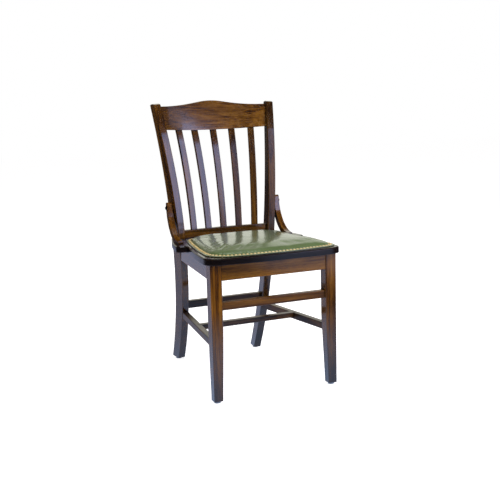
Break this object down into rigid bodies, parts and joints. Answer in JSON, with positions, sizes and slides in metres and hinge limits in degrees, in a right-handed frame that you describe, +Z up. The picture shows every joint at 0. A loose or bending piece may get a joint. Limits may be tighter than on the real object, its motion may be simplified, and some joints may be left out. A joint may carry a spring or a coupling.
{
  "type": "side chair",
  "caption": "Schoolhouse side chair: bent slatted back between curved raked posts, padded vinyl seat edged with nails, curved hip braces, stretchers between tapered legs.",
  "frame": {"origin": "bottom centre of the whole chair, on the floor under the glides", "axes": "+Z up, the front of the seat towards -Y, +X to the right as seen from the front"},
  "size_m": [0.435, 0.5499, 0.869],
  "materials": {
    "stained_wood": "satin walnut stain",
    "seat_wood": "satin dark walnut stain",
    "inner_wood": "raw sawn",
    "plywood": "raw plywood",
    "foam": "open-cell foam",
    "green_vinyl": "glossy coated cloth",
    "brass_nails": "polished, slightly aged",
    "black_screws": "black oxide",
    "steel_screws": "zinc plated",
    "steel_glides": "worn nickel plate"
  },
  "bodies": {
    "root": {"front_apron": "stained_wood", "front_stretcher": "stained_wood", "rear_apron": "stained_wood", "rear_stretcher": "stained_wood", "cross_stretcher": "stained_wood", "crest_rail": "stained_wood", "lower_back_rail": "stained_wood", "back_slat_1": "stained_wood", "back_slat_2": "stained_wood", "back_slat_3": "stained_wood", "back_slat_4": "stained_wood", "back_slat_5": "stained_wood", "front_leg_left": "stained_wood", "front_leg_right": "stained_wood", "back_post_left": "stained_wood", "back_post_right": "stained_wood", "side_apron_left": "stained_wood", "side_apron_right": "stained_wood", "side_stretcher_left": "stained_wood", "side_stretcher_right": "stained_wood", "hip_brace_left": "stained_wood", "hip_brace_right": "stained_wood", "seat_board": "seat_wood", "corner_block_front_left": "inner_wood", "corner_block_front_right": "inner_wood", "corner_block_rear_left": "inner_wood", "corner_block_rear_right": "inner_wood", "pad_board": "plywood", "seat_foam": "foam", "seat_cover": "green_vinyl", "nailheads": "brass_nails", "brace_screws": "black_screws", "seat_screws": "steel_screws", "glides": "steel_glides"}
  },
  "joints": []
}
